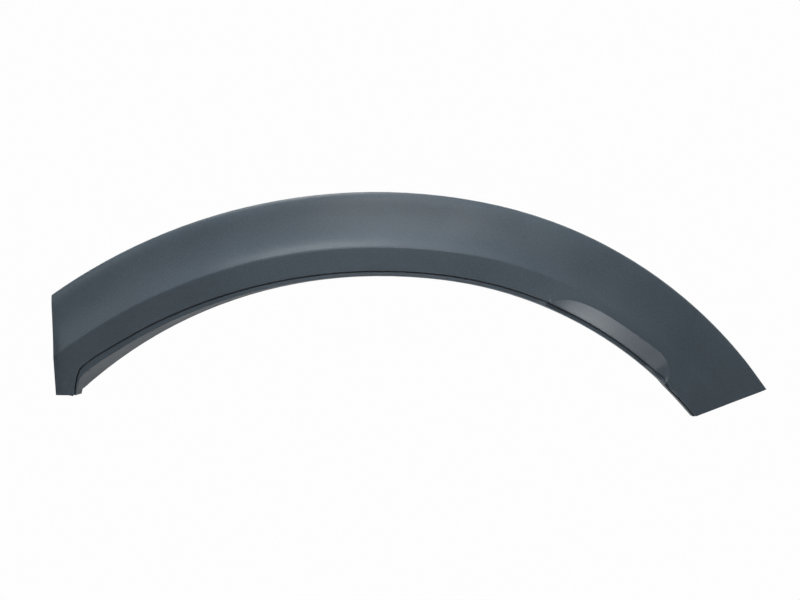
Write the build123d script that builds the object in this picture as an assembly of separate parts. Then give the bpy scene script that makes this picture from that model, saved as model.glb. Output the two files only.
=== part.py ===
"""Wheel arch trim: one moulded piece that covers the edge of a car's front wheel arch.

Frame: X along the car, Z up, and the outer face looks towards -Y. The body panel lies behind the
trim, at the seat plane y = 0 on the middle line, and bows away towards both ends. The origin is on
the axis of the middle locating pin, where it leaves its seat. All sizes are in millimetres.

Every section stands on a rib line. A rib line starts on the inner edge, which faces the wheel, and
runs out to the outer edge, which lies on the panel. In a section, "along" is the distance from the
inner edge along the rib line, and "out" is the height off the panel.
"""
from build123d import *
import math
import os

# Inner edge: two arcs that share a tangent just right of the crown
inner_crown_x = 0.3
inner_crown_z = -37.5
inner_left_radius = 416.0
inner_right_radius = 315.0
inner_join_deg = 7.9

# Outer edge: two arcs of the same kind
outer_crown_x = -3.4
outer_crown_z = 26.3
outer_left_radius = 459.2
outer_right_radius = 362.2
outer_join_deg = 11.2

# Ends: where the end cuts meet the inner edge, and how far each cut leans from square to that edge
left_end_deg = -39.1
right_end_deg = 50.6
left_lean_deg = 35.8
right_lean_deg = 20.0
left_lean_from_deg = -8.0
right_lean_from_deg = 33.0

# Left foot: near the left end the skin turns down past the inner edge and is cut off level
foot_below = 6.9353
foot_drop = 20.0
foot_turn_from = 30.5
foot_turn_run = 14.0
foot_turn_power = 3.0
foot_groove_width = 5.0
foot_groove_depth = 11.0
foot_lip_front = 0.6

# The panel behind the trim bows along the car
panel_bow_radius = 3000.0

# Walls
wall = 2.8
lip_wall = 2.4

# Outer rim, which sits on the panel and rolls over into the band
rim_height = 13.5
rim_round = 4.6
rim_roll = 10.5
rim_roll_right = 22.0
rim_slope_deg = 4.0
rim_slope_right_deg = 5.0
rim_pull = 0.55

# Crease, the style line along the trim, and the two bands beside it
crease_offset = 19.2
crease_round = 1.2
band_turn_share = 0.6
crease_slope_deg = 40.0
crease_slope_left_deg = 32.0
lower_slope_deg = 9.0
lower_slope_left_deg = 10.0
upper_slope_right_deg = 16.0
lower_slope_right_deg = -8.0
left_shape_deg = -34.0
middle_shape_deg = -12.0
crease_fades_from_deg = 8.0
crease_fades_to_deg = 26.0

# Rounded left end
end_round_length = 9.0
end_round_share = 0.45
end_round_power = 1.4

# Long facet cut into the lower right of the inner edge
facet_width = 12.7
facet_slope_deg = 52.0
facet_start_deg = 22.8
facet_end_deg = 43.8
facet_start_run = 12.0
facet_end_run = 18.6
facet_back_shift = 0.9
edge_break = 0.25

# Return lip along the inner edge, with the shadow groove in front of it
groove_width = 1.2
groove_depth = 1.2
groove_right = 0.35
lip_front = 2.6
lip_front_left = 5.5
lip_front_facet = 1.9
lip_front_right = 0.9
lip_setback = 0.6
lip_setback_right = 5.0
skin_drop_right = 3.2
lip_reach_behind = 12.0
lip_reach_right = 2.0
lip_flare = 8.6
lip_flare_power = 2.2
lip_flare_from_deg = -2.0
lip_back_share = 0.3
lip_fade_length = 7.0
lip_past_facet = 3.0

# Locating pins on the back, the main one at the origin
pin_radius = 4.0
pin_length = 10.0
pin_tip_chamfer = 1.2
pin_seat_radius = 8.0
pin_seat_thickness = 3.0
pin_root_radius = 6.5
second_pin_deg = -24.0
second_pin_along = 36.0

# Clip towers on the back, each a hollow box with a keyhole slot in its top
tower_angles_deg = (-31.0, -15.0, 15.0, 28.0, 41.0)
tower_along = 38.0
tower_width = 22.0
tower_length = 18.0
tower_wall = 1.8
tower_top = 2.4
slot_width = 5.2
seat_gap = 0.6

# Screw bosses through the lip
boss_angles_deg = (-17.5, -1.0, 18.0)
boss_radius = 7.0
boss_behind = 3.0
boss_backing = 1.6
screw_radius = 2.75

# Steps that the curves of a section are drawn in
rim_steps = 6
band_steps = 8
crease_steps = 2
lower_steps = 4

# Stations along the trim, as shares of the length over which each feature grows
end_round_stations = (0.2, 0.45, 0.75, 1.1)
foot_turn_stations = (1.15, 1.0, 0.88, 0.76, 0.64, 0.5, 0.3, 0.0)
facet_start_stations = (-0.6, 0.0, 0.25, 0.6, 1.1, 1.8, 3.0)
facet_end_stations = (1.6, 1.0, 0.65, 0.35, 0.15, 0.0, -0.25, -1.0)
middle_stations = 16
station_gap = 1.0
stations_in_span = 3

# Stiffening ribs across the hollow back
rib_thickness = 1.6
rib_reach = 34.0
rib_angles_deg = (-34.5, -20.0, -8.0, 8.0, 21.5, 34.5, 45.5)


# Length of the blocks that pass right through the trim from front to back, with room to spare
through = rim_height + crease_offset + lip_reach_behind + pin_length
reach = 4 * through


def ease(value):
    """Smooth step from 0 to 1."""
    clipped = min(max(value, 0.0), 1.0)
    return clipped * clipped * (3.0 - 2.0 * clipped)


def mix(first, second, share):
    return first + (second - first) * share


def arc_centre(crown_x, crown_z, left_radius, right_radius, join_deg, on_left):
    """Centre of the left or right arc of an edge made of two tangent arcs."""
    if on_left:
        return crown_x, crown_z - left_radius
    join = math.radians(join_deg)
    step = left_radius - right_radius
    return crown_x + step * math.sin(join), crown_z - left_radius + step * math.cos(join)


inner_edge = (inner_crown_x, inner_crown_z, inner_left_radius, inner_right_radius, inner_join_deg)
outer_edge = (outer_crown_x, outer_crown_z, outer_left_radius, outer_right_radius, outer_join_deg)


def inner_radius(deg):
    return inner_left_radius if deg < inner_join_deg else inner_right_radius


def inner_point(deg):
    """Point of the inner edge whose normal stands at this angle from upright."""
    centre_x, centre_z = arc_centre(*inner_edge, deg < inner_join_deg)
    turn = math.radians(deg)
    radius = inner_radius(deg)
    return centre_x + radius * math.sin(turn), centre_z + radius * math.cos(turn)


def edge_length(from_deg, to_deg):
    """Length of the inner edge between two angles."""
    left = max(0.0, min(to_deg, inner_join_deg) - min(from_deg, inner_join_deg))
    right = max(0.0, max(to_deg, inner_join_deg) - max(from_deg, inner_join_deg))
    return math.radians(left) * inner_left_radius + math.radians(right) * inner_right_radius


def lean_deg(deg):
    """Angle between the rib line and the normal of the inner edge."""
    if deg < left_lean_from_deg:
        share = (left_lean_from_deg - deg) / (left_lean_from_deg - left_end_deg)
        return left_lean_deg * share ** 2
    if deg > right_lean_from_deg:
        share = (deg - right_lean_from_deg) / (right_end_deg - right_lean_from_deg)
        return right_lean_deg * share ** 2
    return 0.0


def rib_direction(deg):
    turn = math.radians(deg + lean_deg(deg))
    return math.sin(turn), math.cos(turn)


def rib_length(deg):
    """Distance along the rib line from the inner edge to the outer edge."""
    start_x, start_z = inner_point(deg)
    step_x, step_z = rib_direction(deg)
    lengths = []
    for on_left in (True, False):
        centre_x, centre_z = arc_centre(*outer_edge, on_left)
        radius = outer_left_radius if on_left else outer_right_radius
        to_x = start_x - centre_x
        to_z = start_z - centre_z
        half = to_x * step_x + to_z * step_z
        length = -half + math.sqrt(half ** 2 - to_x ** 2 - to_z ** 2 + radius ** 2)
        end_deg = math.degrees(math.atan2(to_x + length * step_x, to_z + length * step_z))
        if (end_deg < outer_join_deg) == on_left:
            return length
        lengths.append(length)
    return sum(lengths) / len(lengths)


def panel_bow(x):
    return x ** 2 / (2.0 * panel_bow_radius)


def place(deg, along, out):
    """Point of the section at this angle, carried into the trim's own frame."""
    start_x, start_z = inner_point(deg)
    step_x, step_z = rib_direction(deg)
    x = start_x + along * step_x
    return Vector(x, panel_bow(x) - out, start_z + along * step_z)


def facet_share(deg):
    """How much of the facet's full width stands at this angle, from 0 to 1."""
    if not facet_start_deg < deg < facet_end_deg:
        return 0.0
    opening = 1.0 - math.exp(-edge_length(facet_start_deg, deg) / facet_start_run)
    closing = min(1.0, edge_length(deg, facet_end_deg) / facet_end_run)
    return opening * math.sin(math.pi / 2 * closing)


class Section:
    """Sizes of the trim's section at one angle along the inner edge."""

    def __init__(self, deg):
        self.deg = deg
        self.length = rib_length(deg)
        self.oblique = 1.0 / math.cos(math.radians(lean_deg(deg)))
        formed = ease((deg - left_shape_deg) / (middle_shape_deg - left_shape_deg))
        fade = ease((deg - crease_fades_from_deg) / (crease_fades_to_deg - crease_fades_from_deg))
        from_left_end = edge_length(left_end_deg, deg)
        turned = min(1.0, max(0.0, (foot_turn_from - from_left_end) / foot_turn_run)) ** foot_turn_power
        lip_share = ease(edge_length(deg, angle_at(facet_end_deg, lip_past_facet)) / lip_fade_length)
        self.drop = foot_drop * turned + skin_drop_right * (1.0 - lip_share)
        end_drop = end_round_share * max(0.0, 1.0 - from_left_end / end_round_length) ** end_round_power
        keep = 1.0 - end_drop

        upper_deg = mix(mix(crease_slope_left_deg, crease_slope_deg, formed), upper_slope_right_deg, fade)
        lower_deg = mix(mix(lower_slope_left_deg, lower_slope_deg, formed), lower_slope_right_deg, fade)
        rim_deg = mix(rim_slope_deg, rim_slope_right_deg, fade)
        bands_deg = (rim_deg, upper_deg, lower_deg)
        rises = [keep * math.tan(math.radians(band)) / self.oblique for band in bands_deg]
        self.rim_slope, self.upper_slope, self.lower_slope = [math.atan(rise) for rise in rises]
        self.roll = mix(rim_roll, rim_roll_right, fade)
        band_start = self.length - self.roll * self.oblique
        crease_along = crease_offset * self.oblique
        turn_along = mix(band_start, crease_along, band_turn_share)
        turn_out = rim_height + (band_start - turn_along) * rises[0]
        crease_out = turn_out + (turn_along - crease_along) * rises[1]
        self.band_start = (band_start, rim_height)
        self.band_turn = (turn_along, turn_out)
        self.crease = (crease_along, crease_out)
        self.edge_out = crease_out - crease_along * rises[2]

        facet = mix(edge_break, facet_width, facet_share(deg)) * self.oblique
        facet_along = facet - self.drop
        self.facet_top = (facet_along, self.edge_out + facet_along * math.tan(self.lower_slope))
        facet_drop = facet / self.oblique * math.tan(math.radians(facet_slope_deg))
        self.front_out = self.facet_top[1] - facet_drop

        plain_groove = mix(groove_right, groove_width, lip_share) * self.oblique
        plain_depth = mix(groove_right, groove_depth, lip_share)
        along_facet = ease((deg - facet_start_deg) / (facet_end_deg - facet_start_deg))
        flare_share = max(0.0, (lip_flare_from_deg - deg) / (lip_flare_from_deg - left_end_deg))
        flared = flare_share ** lip_flare_power
        lip_width = mix(mix(lip_front, lip_front_left, flared), lip_front_facet, along_facet)
        plain_lip = mix(lip_front_right, lip_width, lip_share) * self.oblique
        skin_edge = -skin_drop_right * (1.0 - lip_share)
        groove = mix(plain_groove, foot_groove_width, turned)
        self.lip_top = self.front_out - mix(lip_setback_right, lip_setback, lip_share)
        self.groove_floor = self.lip_top - mix(plain_depth, foot_groove_depth, turned)
        self.lip_start = -self.drop - groove
        self.lip_edge = self.lip_start - mix(plain_lip, foot_lip_front, turned)
        self.lip_behind = mix(lip_reach_right, lip_reach_behind, lip_share)
        self.flare = lip_flare * flared * self.oblique
        plain_back = skin_edge - plain_groove - plain_lip - self.flare
        self.lip_back = min(plain_back, self.lip_edge)
        self.lip_wall = lip_wall * self.oblique

    def lip_under(self, out):
        """Position along the rib line of the lip's underside at this height off the panel."""
        share = (self.lip_top - out) / (self.lip_top + self.lip_behind)
        return mix(self.lip_edge, self.lip_back, share)

    def skin(self, inset):
        """The skin from the rim to the facet, this far inside the outer surface, as point lists."""
        rim_normal = (math.sin(self.rim_slope), math.cos(self.rim_slope))
        upper_normal = (math.sin(self.upper_slope), math.cos(self.upper_slope))
        lower_normal = (-math.sin(self.lower_slope), math.cos(self.lower_slope))
        band_start = inset_corner(self.band_start, rim_normal, rim_normal, inset)
        band_turn = inset_corner(self.band_turn, rim_normal, upper_normal, inset)
        crease = inset_corner(self.crease, upper_normal, lower_normal, inset)
        crease_top = (crease[0] + crease_round * upper_normal[1], crease[1] - crease_round * upper_normal[0])
        crease_end = (crease[0] - crease_round * lower_normal[1], crease[1] + crease_round * lower_normal[0])

        rise = rim_pull * (rim_round - inset)
        roll = rim_pull * (self.roll - inset) * self.oblique
        rim_foot = (self.length - inset * self.oblique, rim_height - rim_round)
        rim_curve = [
            rim_foot,
            (rim_foot[0], rim_foot[1] + rise),
            (band_start[0] + roll * rim_normal[1], band_start[1] - roll * rim_normal[0]),
            band_start,
        ]
        return rim_curve, [band_start, band_turn, crease_top], [crease_top, crease, crease_end]

    def under_facet(self, inset):
        """Where the skin's inside turns from the lower band to the back of the facet."""
        along = self.facet_top[0] + facet_back_shift * inset
        rise = (along - self.crease[0]) * math.tan(self.lower_slope)
        return along, self.crease[1] + rise - inset / math.cos(self.lower_slope)

    def behind_groove(self, inset, lip_inset):
        along = self.lip_under(0.0) + lip_back_share * self.flare + lip_inset
        return along, self.groove_floor - inset

    def shell(self):
        """Closed outline of the moulded wall, as points from the rim round to the rim."""
        rim_curve, upper_curve, crease_curve = self.skin(0.0)
        rim_inside, upper_inside, crease_inside = self.skin(wall)
        points = curve_points(rim_curve, rim_steps)
        points += curve_points(upper_curve, band_steps)
        points += curve_points(crease_curve, crease_steps)
        points += curve_points([crease_curve[-1], self.facet_top], lower_steps)
        points += [
            self.facet_top,
            (-self.drop, self.front_out),
            (-self.drop, self.groove_floor),
            (self.lip_start, self.groove_floor),
            (self.lip_start, self.lip_top),
            (self.lip_edge, self.lip_top),
            (self.lip_back, -self.lip_behind),
            (self.lip_back + self.lip_wall, -self.lip_behind),
            self.behind_groove(wall, self.lip_wall),
            self.under_facet(wall),
        ]
        points += curve_points(crease_inside[::-1], crease_steps)
        points += curve_points(upper_inside[::-1], band_steps)
        points += [upper_inside[0], rim_inside[0], (rim_inside[0][0], 0.0), (self.length, 0.0)]
        return points

    def core(self):
        """Closed outline of the hollow behind the skin, reaching to the middle of its wall."""
        half = wall / 2
        rim_curve, upper_curve, crease_curve = self.skin(half)
        lip_mid = self.lip_under(seat_gap) + self.lip_wall / 2
        points = curve_points(rim_curve, rim_steps)
        points += curve_points(upper_curve, band_steps)
        points += curve_points(crease_curve, crease_steps)
        points += [
            crease_curve[-1],
            self.under_facet(half),
            self.behind_groove(half, self.lip_wall / 2),
            (lip_mid, seat_gap),
            (rim_curve[0][0], seat_gap),
        ]
        return points


def inset_corner(corner, first, second, inset):
    """Where the corner of two faces with these normals lies once both are moved in this far."""
    share = inset / (1.0 + first[0] * second[0] + first[1] * second[1])
    return corner[0] - share * (first[0] + second[0]), corner[1] - share * (first[1] + second[1])


def curve_points(controls, steps):
    """Points along a curve with these control points, from its start to just before its end."""
    points = []
    for step in range(steps):
        share = step / steps
        row = list(controls)
        while len(row) > 1:
            row = [(mix(a[0], b[0], share), mix(a[1], b[1], share)) for a, b in zip(row, row[1:])]
        points.append(row[0])
    return points


def slopes(points, runs):
    """Direction of a smooth line at each of its points, per millimetre of run."""
    steps = [(b - a) / (end - start) for a, b, start, end in zip(points, points[1:], runs, runs[1:])]
    inside = []
    for index in range(1, len(points) - 1):
        before = runs[index] - runs[index - 1]
        after = runs[index + 1] - runs[index]
        inside.append((steps[index - 1] * after + steps[index] * before) / (before + after))
    return [steps[0]] + inside + [steps[-1]]


def smooth_line(points, runs):
    """One smooth line along the trim, as a list of spans that share their slopes."""
    directions = slopes(points, runs)
    spans = []
    for first in range(0, len(points) - 1, stations_in_span):
        last = min(first + stations_in_span, len(points) - 1)
        ends = [directions[first], directions[last]]
        part_of = slice(first, last + 1)
        spans.append(Edge.make_spline(points[part_of], ends, parameters=runs[part_of], scale=False))
    return spans


def moulding(sections, outline):
    """Solid through the outlines of all sections: smooth along the trim, with flat strips between."""
    runs = [edge_length(left_end_deg, section.deg) for section in sections]
    rows = []
    for section in sections:
        rows.append([place(section.deg, along, out) for along, out in outline(section)])
    lines = [smooth_line(list(points), runs) for points in zip(*rows)]
    faces = [Face(Wire.make_polygon(row, close=True)) for row in (rows[0], rows[-1])]
    for line, next_line in zip(lines, lines[1:] + lines[:1]):
        faces += [Face.make_surface_from_curves(a, b) for a, b in zip(line, next_line)]
    return Solid(Shell(faces))


def angle_at(deg, distance):
    """Angle that lies this far along the inner edge from another."""
    return deg + math.degrees(distance / inner_radius(deg))


def station_angles():
    """Angles of the sections, closer together where the shape changes fast."""
    wanted = [angle_at(left_end_deg, end_round_length * share) for share in end_round_stations]
    turn_end = angle_at(left_end_deg, foot_turn_from)
    wanted += [angle_at(turn_end, -foot_turn_run * share) for share in foot_turn_stations]
    wanted += [mix(turn_end, facet_start_deg, step / middle_stations) for step in range(1, middle_stations)]
    wanted += [angle_at(facet_start_deg, facet_start_run * share) for share in facet_start_stations]
    wanted += [angle_at(facet_end_deg, -facet_end_run * share) for share in facet_end_stations]
    kept = [left_end_deg]
    for deg in sorted(wanted):
        if edge_length(kept[-1], deg) > station_gap and edge_length(deg, right_end_deg) > station_gap:
            kept.append(deg)
    return kept + [right_end_deg]


def upright(deg, along, y):
    """Placement on a rib line, with its own Z along the rib line and its own Y as the trim's."""
    spot = place(deg, along, 0.0)
    return Pos(spot.X, y, spot.Z) * Rot(0, deg + lean_deg(deg), 0)


def along_y(radius, start_y, end_y, x, z):
    """Round bar that runs along Y."""
    middle = (start_y + end_y) / 2
    return Pos(x, middle, z) * Rot(-90, 0, 0) * Cylinder(radius, end_y - start_y)


def end_wall(deg):
    """Wall that closes the hollow at an end cut."""
    return core & upright(deg, 0, 0) * Box(2 * wall, reach, reach)


def foot_block(start, end):
    """Level block across the left foot, between these heights over its cut."""
    foot_x, edge_z = inner_point(left_end_deg)
    middle_z = edge_z - foot_below + (start + end) / 2
    return Pos(foot_x, 0, middle_z) * Box(reach, reach, end - start)


def foot_wall():
    """Wall that closes the hollow at the foot."""
    return core & foot_block(-wall, wall)


def stiffener(deg):
    """Thin rib across the hollow, from the lip to just past the crease."""
    height = lip_reach_behind + rib_reach
    middle = (rib_reach - lip_reach_behind) / 2
    return core & upright(deg, middle, 0) * Box(rib_thickness, reach, height)


def clip_tower(deg):
    """Hollow box up to the panel, open on its left for the clip, with a slot in its top."""
    spot = place(deg, tower_along, seat_gap)
    outside = upright(deg, tower_along, 0) * Box(tower_width, reach, tower_length)
    pocket_x = tower_width - tower_wall
    pocket_z = tower_length - 2 * tower_wall
    pocket_y = spot.Y - tower_top - reach / 2
    pocket = upright(deg, tower_along, pocket_y) * Pos(-tower_wall, 0, 0) * Box(pocket_x, reach, pocket_z)
    slot = Pos(-tower_width / 2, 0, 0) * Box(tower_width, reach, slot_width)
    slot += Rot(-90, 0, 0) * Cylinder(slot_width / 2, reach)
    return (core & outside) - pocket - upright(deg, tower_along, 0) * slot


def locating_pin(x, z):
    """Pin with its seat, on a root that grows out of the skin."""
    seat_y = panel_bow(x)
    root = core & along_y(pin_root_radius, -reach, reach, x, z)
    seat = along_y(pin_seat_radius, seat_y - pin_seat_thickness, seat_y, x, z)
    pin = along_y(pin_radius, seat_y, seat_y + pin_length, x, z)
    tip = pin.edges().group_by(Axis.Y)[-1]
    return root + seat + chamfer(tip, pin_tip_chamfer)


def boss_span(deg):
    """Where a screw boss starts and ends along the normal of the inner edge."""
    under = Section(deg).lip_under(-boss_behind)
    return under + lip_wall / 2, under + lip_wall + boss_backing


def boss_bar(deg, radius, start, end):
    """Round bar along the normal of the inner edge, at the screw's depth."""
    edge_x, edge_z = inner_point(deg)
    turn = math.radians(deg)
    middle = (start + end) / 2
    x = edge_x + middle * math.sin(turn)
    z = edge_z + middle * math.cos(turn)
    return Pos(x, panel_bow(x) + boss_behind, z) * Rot(0, deg, 0) * Cylinder(radius, end - start)


sections = [Section(deg) for deg in station_angles()]
core = moulding(sections, Section.core)
pieces = [end_wall(left_end_deg), end_wall(right_end_deg), foot_wall()]
pieces += [stiffener(deg) for deg in rib_angles_deg]
pieces += [clip_tower(deg) for deg in tower_angles_deg]
second_pin = place(second_pin_deg, second_pin_along, 0.0)
pieces += [locating_pin(0.0, 0.0), locating_pin(second_pin.X, second_pin.Z)]
pieces += [boss_bar(deg, boss_radius, *boss_span(deg)) for deg in boss_angles_deg]

cuts = [foot_block(-reach, 0.0)]
for deg in boss_angles_deg:
    boss_start, boss_end = boss_span(deg)
    cuts.append(boss_bar(deg, screw_radius, boss_start - wall, boss_end + wall))
arch_trim = (moulding(sections, Section.shell) + pieces) - cuts

os.makedirs("parts", exist_ok=True)
export_step(arch_trim, "parts/arch_trim.step")
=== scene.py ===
"""Studio scene of the wheel arch trim: the moulded part, its satin plastic, the light and the camera."""
import math

import bpy
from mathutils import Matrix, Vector

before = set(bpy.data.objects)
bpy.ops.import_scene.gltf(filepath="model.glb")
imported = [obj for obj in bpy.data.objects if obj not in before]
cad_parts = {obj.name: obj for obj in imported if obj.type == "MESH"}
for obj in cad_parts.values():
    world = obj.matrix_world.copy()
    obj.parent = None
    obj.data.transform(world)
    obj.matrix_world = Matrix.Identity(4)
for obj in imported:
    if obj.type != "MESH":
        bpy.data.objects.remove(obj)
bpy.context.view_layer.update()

MM = 0.001

# The photograph's frame and the camera that fits it
IMAGE_WIDTH_PX = 800
CAMERA_DISTANCE = 1500 * MM
MM_PER_PIXEL = 0.81
CAMERA_X = 16.2 * MM
CAMERA_Z = -60.75 * MM
SENSOR_WIDTH = 36.0

# Faces that meet at less than this angle are shaded as one smooth skin, once their shared corners are joined
CRISP_EDGE_DEG = 28.0
WELD_DISTANCE = 0.001 * MM

# Polypropylene, injection moulded: slate grey all through, with a fine grain
PLASTIC_DARK = "#424b53"
PLASTIC_LIGHT = "#4d575f"
PLASTIC_IOR = 1.49
# The grain breaks up the gloss, so the face mirrors less than polished plastic would
GLOSS_LEVEL = 0.22
# Flow marks and speckle in the colour. Noise stays near its middle, so each change of colour or gloss
# runs over a part of the noise's range.
FLOW_MARK_MM = 90.0
FLOW_MARK_DETAIL = 3.0
SPECKLE_MM = 1.1
SPECKLE_DETAIL = 2.0
SPECKLE_SHARE = 0.5
SLATE_RANGE = (0.36, 0.64)
# The real grain is about 0.3 mm wide; it is drawn coarser so that it shows at this distance
GRAIN_MM = 1.3
GRAIN_DETAIL = 3.0
GRAIN_HEIGHT_MM = 0.02
# Smudges from handling, smoother than the grain around them
SMUDGE_MM = 34.0
SMUDGE_DETAIL = 4.0
SMUDGE_RANGE = (0.35, 0.65)
ROUGHNESS_SMOOTH = 0.36
ROUGHNESS_GRAINED = 0.44
# Corners are moulded with a small radius, and handling rubs them a little paler. The rubbing starts at
# the first cosine of the corner's turn and is at its most at the second.
EDGE_ROUND_MM = 0.7
EDGE_ROUND_SAMPLES = 6
EDGE_RUB_COLOUR = "#5f6a71"
EDGE_RUB_COSINES = (0.985, 0.9)
EDGE_RUB_MOST = 0.5
EDGE_RUB_PATCH_MM = 7.0
EDGE_RUB_PATCH_DETAIL = 3.0
EDGE_RUB_PATCH_RANGE = (0.35, 0.6)
# Painted shade: the colour is darkened towards near black in the groove and in tight inner corners, where
# plastic within the reach closes a point in.
# It starts at the first share left open and is at its most at the second.
PAINTED_SHADE_COLOUR = "#14181b"
PAINTED_SHADE_REACH_MM = 4.0
PAINTED_SHADE_SAMPLES = 8
PAINTED_SHADE_OPEN_SHARES = (0.75, 0.3)
PAINTED_SHADE_MOST = 0.45

# Studio: a pale floor under the part that fades into the white behind it, and soft lights round it
FLOOR_Z = -340 * MM
FLOOR_HALF_SIZE = 4000 * MM
FLOOR_COLOUR = "#b4b4b4"
# Near the part the paper is seen this far towards white, so that it shows the shadow. It is all white from
# the end of the fade on, and along the part the fade is stretched.
FLOOR_WHITE_NEAR = 0.75
FLOOR_FADE_START = 90 * MM
FLOOR_FADE_END = 230 * MM
FLOOR_FADE_STRETCH = 3.0
BACKGROUND_WHITE = 0.985
# Gloss shows the white dimmer, because much of a real studio round the white is unlit
GLOSS_SHOWS = 0.2
LIGHT_TARGET = Vector((0, 0, -60 * MM))
# Each soft light: name, degrees round from the camera, degrees up, distance, size, watts, spread in
# degrees. The rear pair's narrow spread lights the back of the part, and little of the floor that the
# lip mirrors.
SOFT_LIGHTS = (
    ("overhead_left", -75, 78, 1600 * MM, 700 * MM, 23.5, 180),
    ("left_fill", -55, 25, 1600 * MM, 700 * MM, 2.6, 180),
    ("front_high", 5, 50, 600 * MM, 350 * MM, 0.82, 180),
    ("front_low", 5, 25, 600 * MM, 350 * MM, 1.75, 180),
    ("rear_left", -150, 25, 1600 * MM, 1400 * MM, 2.5, 60),
    ("rear_right", 150, 25, 1600 * MM, 1400 * MM, 2.5, 60),
    ("right_top", 88, 48, 1600 * MM, 700 * MM, 6.0, 180),
)
# Small bounce cards low under the arch, which the facet at the lower right mirrors:
# name, place, target, size, watts, spread in degrees
BOUNCE_CARDS = (
    ("facet_bounce", Vector((90, 40, -260)) * MM, Vector((150, 0, -80)) * MM, 160 * MM, 0.035, 100),
    ("facet_tip_bounce", Vector((105, 25, -173)) * MM, Vector((140, 0, -65)) * MM, 90 * MM, 0.032, 100),
)


def linear(hex_colour):
    """Turns an sRGB hex colour into linear RGBA."""
    channels = [int(hex_colour[i:i + 2], 16) / 255 for i in (1, 3, 5)]
    return [c / 12.92 if c <= 0.04045 else ((c + 0.055) / 1.055) ** 2.4 for c in channels] + [1.0]


def add_node(tree, kind, inputs=None, **settings):
    """Adds a node with these settings; each input is a value or the socket it is linked from."""
    made = tree.nodes.new(kind)
    for name, value in settings.items():
        setattr(made, name, value)
    for name, value in (inputs or {}).items():
        if isinstance(value, bpy.types.NodeSocket):
            tree.links.new(value, made.inputs[name])
        else:
            made.inputs[name].default_value = value
    return made


def new_material(name):
    """Material with an empty node tree."""
    made = bpy.data.materials.new(name)
    made.use_nodes = True
    made.node_tree.nodes.clear()
    return made, made.node_tree


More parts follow.
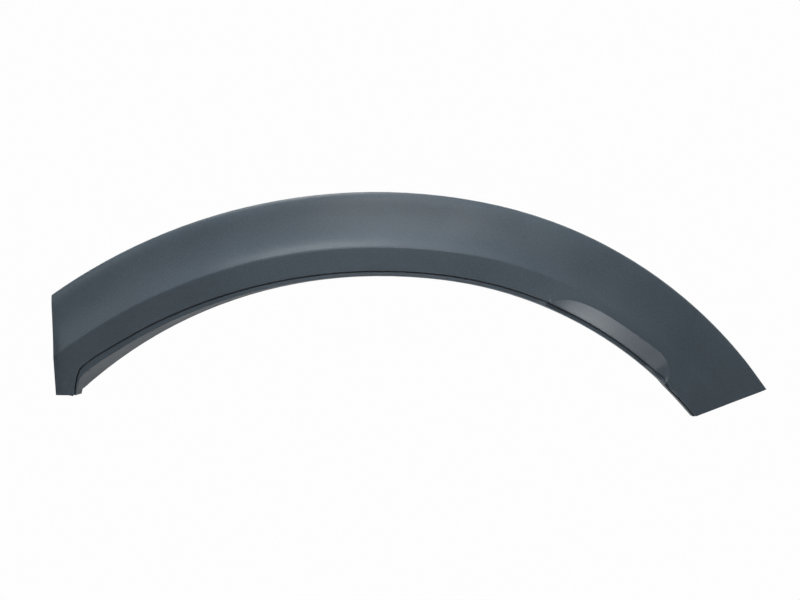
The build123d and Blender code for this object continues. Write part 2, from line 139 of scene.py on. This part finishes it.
def moulded_polypropylene():
    """Polypropylene, injection moulded with a fine grain: an even satin slate grey, neither glossy nor
    chalky, with faint flow marks in the colour, uneven gloss where it was handled and paler corners."""
    made, tree = new_material("polypropylene_moulded_fine_grain")
    place = add_node(tree, "ShaderNodeTexCoord").outputs["Object"]

    # Flow marks and speckle shift the slate colour a little darker and lighter
    flow = add_node(
        tree, "ShaderNodeTexNoise",
        {"Vector": place, "Scale": 1 / (FLOW_MARK_MM * MM), "Detail": FLOW_MARK_DETAIL},
    )
    speckle = add_node(
        tree, "ShaderNodeTexNoise",
        {"Vector": place, "Scale": 1 / (SPECKLE_MM * MM), "Detail": SPECKLE_DETAIL},
    )
    shade = add_node(
        tree, "ShaderNodeMix",
        {"Factor": SPECKLE_SHARE, "A": flow.outputs["Fac"], "B": speckle.outputs["Fac"]},
    )
    slate = add_node(
        tree, "ShaderNodeMapRange",
        {"Value": shade.outputs["Result"], "From Min": SLATE_RANGE[0], "From Max": SLATE_RANGE[1]},
    )
    body = add_node(
        tree, "ShaderNodeMix",
        {"Factor": slate.outputs["Result"], "A": linear(PLASTIC_DARK), "B": linear(PLASTIC_LIGHT)},
        data_type="RGBA",
    )

    # Where the rounded corner turns away from the face, the plastic is rubbed paler in patches
    corner = add_node(
        tree, "ShaderNodeBevel", {"Radius": EDGE_ROUND_MM * MM}, samples=EDGE_ROUND_SAMPLES,
    ).outputs["Normal"]
    face = add_node(tree, "ShaderNodeNewGeometry").outputs["Normal"]
    turn = add_node(tree, "ShaderNodeVectorMath", {0: corner, 1: face}, operation="DOT_PRODUCT")
    edge = add_node(
        tree, "ShaderNodeMapRange",
        {"Value": turn.outputs["Value"], "From Min": EDGE_RUB_COSINES[0], "From Max": EDGE_RUB_COSINES[1],
         "To Max": EDGE_RUB_MOST},
    )
    uneven = add_node(
        tree, "ShaderNodeTexNoise",
        {"Vector": place, "Scale": 1 / (EDGE_RUB_PATCH_MM * MM), "Detail": EDGE_RUB_PATCH_DETAIL},
    )
    patch = add_node(
        tree, "ShaderNodeMapRange",
        {"Value": uneven.outputs["Fac"], "From Min": EDGE_RUB_PATCH_RANGE[0],
         "From Max": EDGE_RUB_PATCH_RANGE[1]},
    )
    rubbed = add_node(
        tree, "ShaderNodeMath",
        {0: edge.outputs["Result"], 1: patch.outputs["Result"]}, operation="MULTIPLY",
    )
    paled = add_node(
        tree, "ShaderNodeMix",
        {"Factor": rubbed.outputs[0], "A": body.outputs["Result"], "B": linear(EDGE_RUB_COLOUR)},
        data_type="RGBA",
    )

    # Painted shade darkens the colour in the groove and the tight inner corners, where the plastic closes
    # them in
    open_share = add_node(
        tree, "ShaderNodeAmbientOcclusion", {"Distance": PAINTED_SHADE_REACH_MM * MM}, samples=PAINTED_SHADE_SAMPLES,
    ).outputs["AO"]
    painted_shade = add_node(
        tree, "ShaderNodeMapRange",
        {"Value": open_share, "From Min": PAINTED_SHADE_OPEN_SHARES[0], "From Max": PAINTED_SHADE_OPEN_SHARES[1],
         "To Max": PAINTED_SHADE_MOST},
    )
    colour = add_node(
        tree, "ShaderNodeMix",
        {"Factor": painted_shade.outputs["Result"], "A": paled.outputs["Result"], "B": linear(PAINTED_SHADE_COLOUR)},
        data_type="RGBA",
    )

    # Handling leaves broad patches that are a little glossier than the grain around them
    smudge = add_node(
        tree, "ShaderNodeTexNoise",
        {"Vector": place, "Scale": 1 / (SMUDGE_MM * MM), "Detail": SMUDGE_DETAIL},
    )
    gloss = add_node(
        tree, "ShaderNodeMapRange",
        {"Value": smudge.outputs["Fac"], "From Min": SMUDGE_RANGE[0], "From Max": SMUDGE_RANGE[1],
         "To Min": ROUGHNESS_SMOOTH, "To Max": ROUGHNESS_GRAINED},
    )

    # The mould's fine grain is a shallow relief on the rounded skin
    grain = add_node(
        tree, "ShaderNodeTexNoise", {"Vector": place, "Scale": 1 / (GRAIN_MM * MM), "Detail": GRAIN_DETAIL},
    )
    bump = add_node(
        tree, "ShaderNodeBump",
        {"Height": grain.outputs["Fac"], "Distance": GRAIN_HEIGHT_MM * MM, "Normal": corner},
    )
    shader = add_node(
        tree, "ShaderNodeBsdfPrincipled",
        {"Base Color": colour.outputs["Result"], "Roughness": gloss.outputs["Result"],
         "Normal": bump.outputs["Normal"], "IOR": PLASTIC_IOR, "Specular IOR Level": GLOSS_LEVEL},
    )
    add_node(tree, "ShaderNodeOutputMaterial", {"Surface": shader.outputs[0]})
    return made


def seen_white(tree):
    """How much of the white background a ray sees: from the camera, in a gloss or through glass."""
    ray = add_node(tree, "ShaderNodeLightPath")
    in_gloss = add_node(
        tree, "ShaderNodeMath", {0: ray.outputs["Is Glossy Ray"], 1: GLOSS_SHOWS}, operation="MULTIPLY",
    )
    straight = add_node(
        tree, "ShaderNodeMath",
        {0: ray.outputs["Is Camera Ray"], 1: ray.outputs["Is Transmission Ray"]}, operation="MAXIMUM",
    )
    seen = add_node(
        tree, "ShaderNodeMath", {0: straight.outputs[0], 1: in_gloss.outputs[0]}, operation="MAXIMUM",
    )
    return seen.outputs[0]


def matt_paper():
    """Studio paper, matt and pale: dull and even, with the part's soft shadow on it, fading out to white."""
    made, tree = new_material("paper_matt_pale")
    place = add_node(tree, "ShaderNodeTexCoord").outputs["Object"]
    along = add_node(
        tree, "ShaderNodeVectorMath", {0: place, 1: (1 / FLOOR_FADE_STRETCH, 1, 0)}, operation="MULTIPLY",
    )
    away = add_node(tree, "ShaderNodeVectorMath", {0: along.outputs["Vector"]}, operation="LENGTH")
    white = add_node(
        tree, "ShaderNodeMapRange",
        {"Value": away.outputs["Value"], "From Min": FLOOR_FADE_START, "From Max": FLOOR_FADE_END,
         "To Min": FLOOR_WHITE_NEAR},
        interpolation_type="SMOOTHSTEP",
    )
    share = add_node(
        tree, "ShaderNodeMath", {0: seen_white(tree), 1: white.outputs["Result"]}, operation="MULTIPLY",
    )
    paper = add_node(tree, "ShaderNodeBsdfDiffuse", {"Color": linear(FLOOR_COLOUR)})
    glow = add_node(tree, "ShaderNodeEmission", {"Strength": BACKGROUND_WHITE})
    mixed = add_node(
        tree, "ShaderNodeMixShader", {"Fac": share.outputs[0], 1: paper.outputs[0], 2: glow.outputs[0]},
    )
    add_node(tree, "ShaderNodeOutputMaterial", {"Surface": mixed.outputs[0]})
    return made


def smooth_skin(piece):
    """Modifiers that shade the part as one smooth skin and keep its real edges crisp."""
    piece.modifiers.new("join_faces", "WELD").merge_threshold = WELD_DISTANCE
    group = bpy.data.node_groups.new("crisp_edges", "GeometryNodeTree")
    group.interface.new_socket("Geometry", in_out="INPUT", socket_type="NodeSocketGeometry")
    group.interface.new_socket("Geometry", in_out="OUTPUT", socket_type="NodeSocketGeometry")
    source = add_node(group, "NodeGroupInput")
    angle = add_node(group, "GeometryNodeInputMeshEdgeAngle").outputs["Unsigned Angle"]
    gentle = add_node(
        group, "FunctionNodeCompare", {0: angle, 1: math.radians(CRISP_EDGE_DEG)}, operation="LESS_THAN",
    )
    faces = add_node(
        group, "GeometryNodeSetShadeSmooth",
        {"Geometry": source.outputs[0], "Shade Smooth": True}, domain="FACE",
    )
    edges = add_node(
        group, "GeometryNodeSetShadeSmooth",
        {"Geometry": faces.outputs[0], "Shade Smooth": gentle.outputs["Result"]}, domain="EDGE",
    )
    add_node(group, "NodeGroupOutput", {0: edges.outputs[0]})
    piece.modifiers.new("crisp_edges", "NODES").node_group = group
    even = piece.modifiers.new("even_highlights", "WEIGHTED_NORMAL")
    even.keep_sharp = True


def add_camera():
    """Camera square to the part's front, where the photograph was taken from."""
    data = bpy.data.cameras.new("photo_camera")
    data.sensor_width = SENSOR_WIDTH
    data.lens = SENSOR_WIDTH * (CAMERA_DISTANCE / MM / MM_PER_PIXEL) / IMAGE_WIDTH_PX
    camera = bpy.data.objects.new("photo_camera", data)
    camera.location = (CAMERA_X, -CAMERA_DISTANCE, CAMERA_Z)
    camera.rotation_euler = (math.radians(90), 0, 0)
    bpy.context.scene.collection.objects.link(camera)
    bpy.context.scene.camera = camera


def add_light(name, place, target, size, watts, spread_deg):
    """Soft round light, out of the camera's sight."""
    data = bpy.data.lights.new(name, "AREA")
    data.shape = "DISK"
    data.size = size
    data.energy = watts
    data.spread = math.radians(spread_deg)
    light = bpy.data.objects.new(name, data)
    light.location = place
    light.rotation_euler = (target - place).to_track_quat("-Z", "Y").to_euler()
    light.visible_camera = False
    bpy.context.scene.collection.objects.link(light)


def add_soft_light(name, round_deg, up_deg, distance, size, watts, spread_deg):
    """Soft light that stands this far round from the camera and this far up."""
    turn = math.radians(round_deg)
    up = math.radians(up_deg)
    away = Vector((math.sin(turn) * math.cos(up), -math.cos(turn) * math.cos(up), math.sin(up)))
    add_light(name, LIGHT_TARGET + distance * away, LIGHT_TARGET, size, watts, spread_deg)


def add_floor():
    """Flat sheet of paper below the part."""
    mesh = bpy.data.meshes.new("floor")
    half = FLOOR_HALF_SIZE
    corners = [(x, y, FLOOR_Z) for x, y in ((-half, -half), (half, -half), (half, half), (-half, half))]
    mesh.from_pydata(corners, [], [(0, 1, 2, 3)])
    mesh.materials.append(matt_paper())
    floor = bpy.data.objects.new("floor", mesh)
    bpy.context.scene.collection.objects.link(floor)


def add_world():
    """White behind the part, which the camera and gloss see and which adds no other light."""
    world = bpy.data.worlds.new("studio")
    bpy.context.scene.world = world
    world.use_nodes = True
    tree = world.node_tree
    level = add_node(
        tree, "ShaderNodeMath", {0: seen_white(tree), 1: BACKGROUND_WHITE}, operation="MULTIPLY",
    )
    background = tree.nodes["Background"]
    background.inputs["Color"].default_value = (1, 1, 1, 1)
    tree.links.new(level.outputs[0], background.inputs["Strength"])


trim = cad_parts["arch_trim"]
trim.data.materials.clear()
trim.data.materials.append(moulded_polypropylene())
smooth_skin(trim)
add_floor()
add_world()
add_camera()
for light in SOFT_LIGHTS:
    add_soft_light(*light)
for card in BOUNCE_CARDS:
    add_light(*card)
bpy.context.scene.view_settings.view_transform = "Standard"
